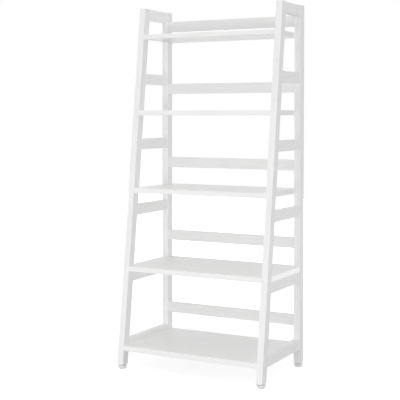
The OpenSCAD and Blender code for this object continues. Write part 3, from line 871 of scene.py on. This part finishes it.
class BOOKCASE_OT_stage(bpy.types.Operator):
    """Set up the camera, the white room, the lamps and the floor"""
    bl_idname = "bookcase.stage"
    bl_label = "Stage"

    LIT_POINT = (0, 0, 0.8)
    KEY_PLACE, KEY_WIDTH = (0.1, -3.2, 0.5), 0.8
    TOP_PLACE, TOP_WIDTH = (0, -1.0, 4.6), 3.2
    SIDE_PLACE, SIDE_WIDTH = (5, 0, 4), 2
    FILL_PLACE = (0, 0, 3)               # any place will do, because this light is even
    LEFTWARDS, BACKWARDS = (-1, 0.05, -0.05), (0.05, 1, -0.1)
    FORWARDS, RIGHTWARDS, DOWNWARDS = (0, -1, 0), (1, 0, 0), (0, 0.1, -1)
    FLOOR_NEAR, FLOOR_FAR = 0.5, 3.0
    FLOOR_ROUGHNESS = 0.9

    def execute(self, context):
        scene = context.scene
        stage = scene.bookcase_stage
        scene.view_settings.view_transform = "Standard"
        self.camera(scene, stage)
        self.room(scene, stage.room_level)
        self.floor(stage)
        self.lamp("key", self.KEY_PLACE, self.KEY_WIDTH, stage.key_power, highlight=False)
        self.lamp("top", self.TOP_PLACE, self.TOP_WIDTH, stage.top_power)
        self.lamp("side", self.SIDE_PLACE, self.SIDE_WIDTH, stage.side_power, shadow=False, highlight=False)
        self.fill("side_fill", self.LEFTWARDS, stage.side_fill)
        self.fill("front_fill", self.BACKWARDS, stage.front_fill)
        self.fill("back_fill", self.FORWARDS, stage.far_fill)
        self.fill("left_fill", self.RIGHTWARDS, stage.far_fill)
        self.fill("top_fill", self.DOWNWARDS, stage.top_fill)
        return {"FINISHED"}

    def camera(self, scene, stage):
        """The camera looks down a little, and its frame is shifted down."""
        data = bpy.data.cameras.new("camera")
        data.lens = stage.camera_lens
        data.shift_y = stage.camera_shift
        camera = bpy.data.objects.new("camera", data)
        camera.location = stage.camera_place
        camera.rotation_euler = (QUARTER_TURN - stage.camera_tilt, 0, stage.camera_turn)
        scene.collection.objects.link(camera)
        scene.camera = camera

    def seen(self, tree):
        """1 where a camera, glossy or transmission ray looks, and 0 for the light on the object."""
        path = add(tree, "ShaderNodeLightPath").outputs
        both = maths(tree, "MAXIMUM", path["Is Camera Ray"], path["Is Glossy Ray"])
        return maths(tree, "MAXIMUM", both, path["Is Transmission Ray"])

    def room(self, scene, level):
        """A white room: pure white to look at, and a plain level of light on the object."""
        world = bpy.data.worlds.new("white_room")
        world.use_nodes = True
        tree = world.node_tree
        background = tree.nodes["Background"]
        background.inputs["Color"].default_value = WHITE
        looked_at = self.seen(tree)
        strength = maths(tree, "ADD", maths(tree, "MULTIPLY", looked_at, 1 - level), level)
        tree.links.new(strength, background.inputs["Strength"])
        scene.world = world

    def floor(self, stage):
        """A pale floor that looks white and keeps the object's shadow. Its own white rises with the distance
        from the object, so that the floor has no horizon."""
        half = stage.floor_size / 2
        corners = np.array([[-half, -half, 0], [half, -half, 0], [half, half, 0], [-half, half, 0]])
        mesh = bpy.data.meshes.new("floor")
        mesh.from_pydata(corners.tolist(), [], [[0, 1, 2, 3]])
        floor = bpy.data.objects.new("floor", mesh)
        bpy.context.scene.collection.objects.link(floor)
        material = bpy.data.materials.new("white_floor")
        material.use_nodes = True
        tree = material.node_tree
        bsdf = tree.nodes["Principled BSDF"]
        bsdf.inputs["Base Color"].default_value = FLOOR_GREY
        bsdf.inputs["Roughness"].default_value = self.FLOOR_ROUGHNESS
        bsdf.inputs["Specular IOR Level"].default_value = 0.0
        bsdf.inputs["Emission Color"].default_value = WHITE
        place = add(tree, "ShaderNodeTexCoord").outputs["Object"]
        distance = add(tree, "ShaderNodeVectorMath", {0: place}, operation="LENGTH").outputs["Value"]
        level = ramped(tree, distance, self.FLOOR_NEAR, self.FLOOR_FAR,
                       stage.floor_level, stage.floor_level + stage.floor_rise)
        tree.links.new(maths(tree, "MULTIPLY", self.seen(tree), level), bsdf.inputs["Emission Strength"])
        mesh.materials.append(material)

    def lamp(self, name, place, width, power, shadow=True, highlight=True):
        """A soft square lamp that looks at the middle of the bookcase."""
        data = bpy.data.lights.new(name, "AREA")
        data.size = width
        data.energy = power
        self.hang(name, data, place, np.array(self.LIT_POINT) - np.array(place), shadow, highlight)

    def fill(self, name, way, strength):
        """An even light without shadows or highlights, as large white walls send back."""
        data = bpy.data.lights.new(name, "SUN")
        data.energy = strength
        self.hang(name, data, self.FILL_PLACE, np.array(way), shadow=False, highlight=False)

    def hang(self, name, data, place, way, shadow, highlight):
        """Hangs a lamp at a place so that it shines along way."""
        data.use_shadow = shadow
        lamp = bpy.data.objects.new(name, data)
        lamp.visible_glossy = highlight
        lamp.location = place
        tip = math.acos(-way[2] / np.linalg.norm(way))
        heading = math.atan2(way[1], way[0]) - QUARTER_TURN
        lamp.rotation_euler = (tip, 0, heading)
        bpy.context.scene.collection.objects.link(lamp)


PIECES = (
    BOOKCASE_OT_legs, BOOKCASE_OT_rails, BOOKCASE_OT_shelves, BOOKCASE_OT_foot_studs, BOOKCASE_OT_foot_pads,
    BOOKCASE_OT_inserts, BOOKCASE_OT_cams, BOOKCASE_OT_cam_bolts, BOOKCASE_OT_dowels, BOOKCASE_OT_stage,
)


class BOOKCASE_PT_finish(bpy.types.Panel):
    """The steps of the finish, in order, with their settings"""
    bl_idname = "BOOKCASE_PT_finish"
    bl_label = "Bookcase"
    bl_space_type = "VIEW_3D"
    bl_region_type = "UI"
    bl_category = "Bookcase"

    def draw(self, context):
        for piece in PIECES:
            self.layout.operator(piece.bl_idname)
        for name, _ in SETTINGS:
            settings = getattr(context.scene, name)
            column = self.layout.column()
            for key in settings.__annotations__:
                column.prop(settings, key)


SETTINGS = (
    ("bookcase_colours", BookcaseColours),
    ("bookcase_sizes", BookcaseSizes),
    ("bookcase_stage", BookcaseStage),
)


def register():
    """Registers the settings, the operators and the panel."""
    for name, group in SETTINGS:
        bpy.utils.register_class(group)
        setattr(bpy.types.Scene, name, PointerProperty(type=group))
    for cls in (*PIECES, BOOKCASE_PT_finish):
        bpy.utils.register_class(cls)


def unregister():
    """Takes them out again, last one first."""
    for cls in (BOOKCASE_PT_finish, *reversed(PIECES)):
        bpy.utils.unregister_class(cls)
    for name, group in reversed(SETTINGS):
        delattr(bpy.types.Scene, name)
        bpy.utils.unregister_class(group)


def main():
    """Registers the add-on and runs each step."""
    register()
    bpy.ops.bookcase.legs()
    bpy.ops.bookcase.rails()
    bpy.ops.bookcase.shelves()
    bpy.ops.bookcase.foot_studs()
    bpy.ops.bookcase.foot_pads()
    bpy.ops.bookcase.inserts()
    bpy.ops.bookcase.cams()
    bpy.ops.bookcase.cam_bolts()
    bpy.ops.bookcase.dowels()
    bpy.ops.bookcase.stage()


if __name__ == "__main__":
    main()
